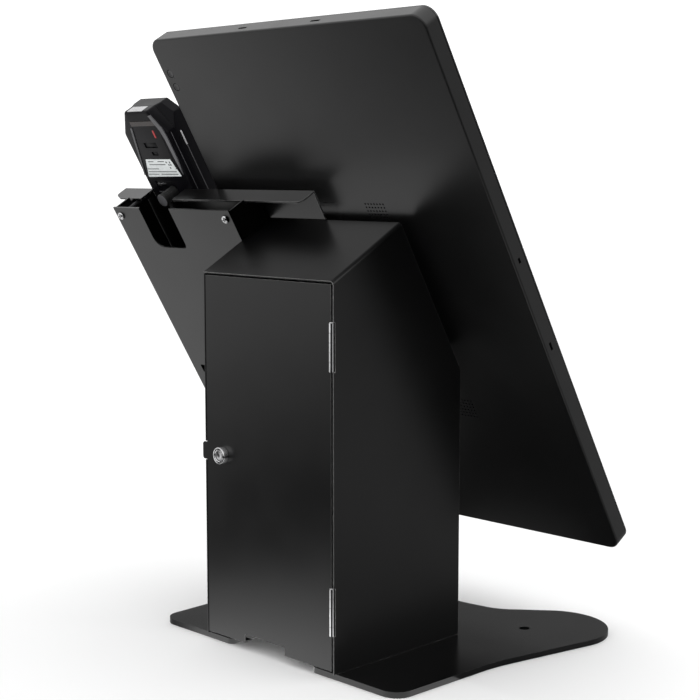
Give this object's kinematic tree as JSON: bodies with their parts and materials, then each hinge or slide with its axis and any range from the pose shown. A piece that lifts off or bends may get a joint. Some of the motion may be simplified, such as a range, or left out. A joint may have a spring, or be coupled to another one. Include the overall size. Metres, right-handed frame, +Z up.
{
  "type": "self checkout kiosk",
  "caption": "Countertop self checkout kiosk: steel cabinet column with a locked rear door on a lobed base, tilted portrait touch display and a payment terminal on a side holder.",
  "frame": {"origin": "on the base plate's underside, under the middle of the cabinet column", "axes": "+Z up, -Y towards the customer, +X to the customer's right, where the payment terminal is"},
  "size_m": [0.5619, 0.3574, 0.6661],
  "materials": {
    "powder_coated_steel": "satin black powder coat, fine orange peel",
    "bare_steel": "zinc plated",
    "bright_metal": "polished",
    "display_plastic": "fine moulded texture",
    "touch_glass": "gloss black glass front",
    "terminal_lens": "gloss",
    "lcd": "satin",
    "circuit_board": "solder mask",
    "terminal_plastic": "fine moulded texture",
    "key_plastic": "matt",
    "key_red": "matt",
    "key_yellow": "matt",
    "key_green": "matt",
    "rubber": "matt",
    "adapter_plastic": "fine moulded texture"
  },
  "bodies": {
    "stand": {"base_plate": "powder_coated_steel", "column_shell": "powder_coated_steel", "column_side_panel": "powder_coated_steel", "column_front_panel": "powder_coated_steel", "lock_strike": "bare_steel", "hinge_lower_frame_leaf": "bare_steel", "hinge_lower_pin": "bare_steel", "hinge_upper_frame_leaf": "bare_steel", "hinge_upper_pin": "bare_steel", "display_spacer": "powder_coated_steel", "display_screw_1": "bare_steel", "display_screw_2": "bare_steel", "display_screw_3": "bare_steel", "display_screw_4": "bare_steel", "display_rear_housing": "display_plastic", "touch_glass": "touch_glass", "lcd_panel": "lcd", "main_board": "circuit_board", "port_cover": "display_plastic", "terminal_holder": "powder_coated_steel", "cable_cover": "powder_coated_steel", "cover_standoff_left": "bare_steel", "cover_standoff_right": "bare_steel", "cover_screw_left": "bright_metal", "cover_screw_right": "bright_metal", "lead_clip_screw": "bright_metal", "terminal_fixing_screw": "bright_metal", "cable_grommet": "rubber", "terminal_rear_housing": "terminal_plastic", "terminal_front_housing": "terminal_plastic", "terminal_lens": "terminal_lens", "terminal_board": "circuit_board", "terminal_plug": "rubber", "terminal_lead": "rubber", "power_adapter": "adapter_plastic", "interface_box": "adapter_plastic"},
    "door": {"door_panel": "powder_coated_steel", "hinge_lower_door_leaf": "bare_steel", "hinge_upper_door_leaf": "bare_steel", "lock_body": "bright_metal", "lock_nut": "bare_steel"},
    "lock_barrel": {"lock_plug": "bright_metal", "lock_cam": "bare_steel"},
    "power_button": {"power_button": "display_plastic"},
    "menu_button": {"menu_button": "display_plastic"},
    "key_cancel": {"key_cancel": "key_red"},
    "key_clear": {"key_clear": "key_yellow"},
    "key_enter": {"key_enter": "key_green"},
    "key_star": {"key_star": "key_plastic"},
    "key_0": {"key_0": "key_plastic"},
    "key_hash": {"key_hash": "key_plastic"},
    "key_7": {"key_7": "key_plastic"},
    "key_8": {"key_8": "key_plastic"},
    "key_9": {"key_9": "key_plastic"},
    "key_4": {"key_4": "key_plastic"},
    "key_5": {"key_5": "key_plastic"},
    "key_6": {"key_6": "key_plastic"},
    "key_1": {"key_1": "key_plastic"},
    "key_2": {"key_2": "key_plastic"},
    "key_3": {"key_3": "key_plastic"}
  },
  "joints": [
    {"name": "door_hinge", "type": "hinge", "parent": "stand", "child": "door", "pos_m": [-0.09745, 0.09625, 0.206], "axis": [0, 0, 1], "range_deg": [0, 110]},
    {"name": "lock_turn", "type": "hinge", "parent": "door", "child": "lock_barrel", "pos_m": [0.07, 0.09585, 0.21], "axis": [0, -1, 0], "range_deg": [0, 90]},
    {"name": "power_button_press", "type": "slide", "parent": "stand", "child": "power_button", "axis": [0, -0.8598, 0.5106], "range_m": [0, 0.0008], "stiffness_N_per_m": 400},
    {"name": "menu_button_press", "type": "slide", "parent": "stand", "child": "menu_button", "axis": [0, -0.8598, 0.5106], "range_m": [0, 0.0008], "stiffness_N_per_m": 400},
    {"name": "key_cancel_press", "type": "slide", "parent": "stand", "child": "key_cancel", "axis": [0, 0.8598, -0.5106], "range_m": [0, 0.001], "stiffness_N_per_m": 400},
    {"name": "key_clear_press", "type": "slide", "parent": "stand", "child": "key_clear", "axis": [0, 0.8598, -0.5106], "range_m": [0, 0.001], "stiffness_N_per_m": 400},
    {"name": "key_enter_press", "type": "slide", "parent": "stand", "child": "key_enter", "axis": [0, 0.8598, -0.5106], "range_m": [0, 0.001], "stiffness_N_per_m": 400},
    {"name": "key_star_press", "type": "slide", "parent": "stand", "child": "key_star", "axis": [0, 0.8598, -0.5106], "range_m": [0, 0.001], "stiffness_N_per_m": 400},
    {"name": "key_0_press", "type": "slide", "parent": "stand", "child": "key_0", "axis": [0, 0.8598, -0.5106], "range_m": [0, 0.001], "stiffness_N_per_m": 400},
    {"name": "key_hash_press", "type": "slide", "parent": "stand", "child": "key_hash", "axis": [0, 0.8598, -0.5106], "range_m": [0, 0.001], "stiffness_N_per_m": 400},
    {"name": "key_7_press", "type": "slide", "parent": "stand", "child": "key_7", "axis": [0, 0.8598, -0.5106], "range_m": [0, 0.001], "stiffness_N_per_m": 400},
    {"name": "key_8_press", "type": "slide", "parent": "stand", "child": "key_8", "axis": [0, 0.8598, -0.5106], "range_m": [0, 0.001], "stiffness_N_per_m": 400},
    {"name": "key_9_press", "type": "slide", "parent": "stand", "child": "key_9", "axis": [0, 0.8598, -0.5106], "range_m": [0, 0.001], "stiffness_N_per_m": 400},
    {"name": "key_4_press", "type": "slide", "parent": "stand", "child": "key_4", "axis": [0, 0.8598, -0.5106], "range_m": [0, 0.001], "stiffness_N_per_m": 400},
    {"name": "key_5_press", "type": "slide", "parent": "stand", "child": "key_5", "axis": [0, 0.8598, -0.5106], "range_m": [0, 0.001], "stiffness_N_per_m": 400},
    {"name": "key_6_press", "type": "slide", "parent": "stand", "child": "key_6", "axis": [0, 0.8598, -0.5106], "range_m": [0, 0.001], "stiffness_N_per_m": 400},
    {"name": "key_1_press", "type": "slide", "parent": "stand", "child": "key_1", "axis": [0, 0.8598, -0.5106], "range_m": [0, 0.001], "stiffness_N_per_m": 400},
    {"name": "key_2_press", "type": "slide", "parent": "stand", "child": "key_2", "axis": [0, 0.8598, -0.5106], "range_m": [0, 0.001], "stiffness_N_per_m": 400},
    {"name": "key_3_press", "type": "slide", "parent": "stand", "child": "key_3", "axis": [0, 0.8598, -0.5106], "range_m": [0, 0.001], "stiffness_N_per_m": 400}
  ]
}
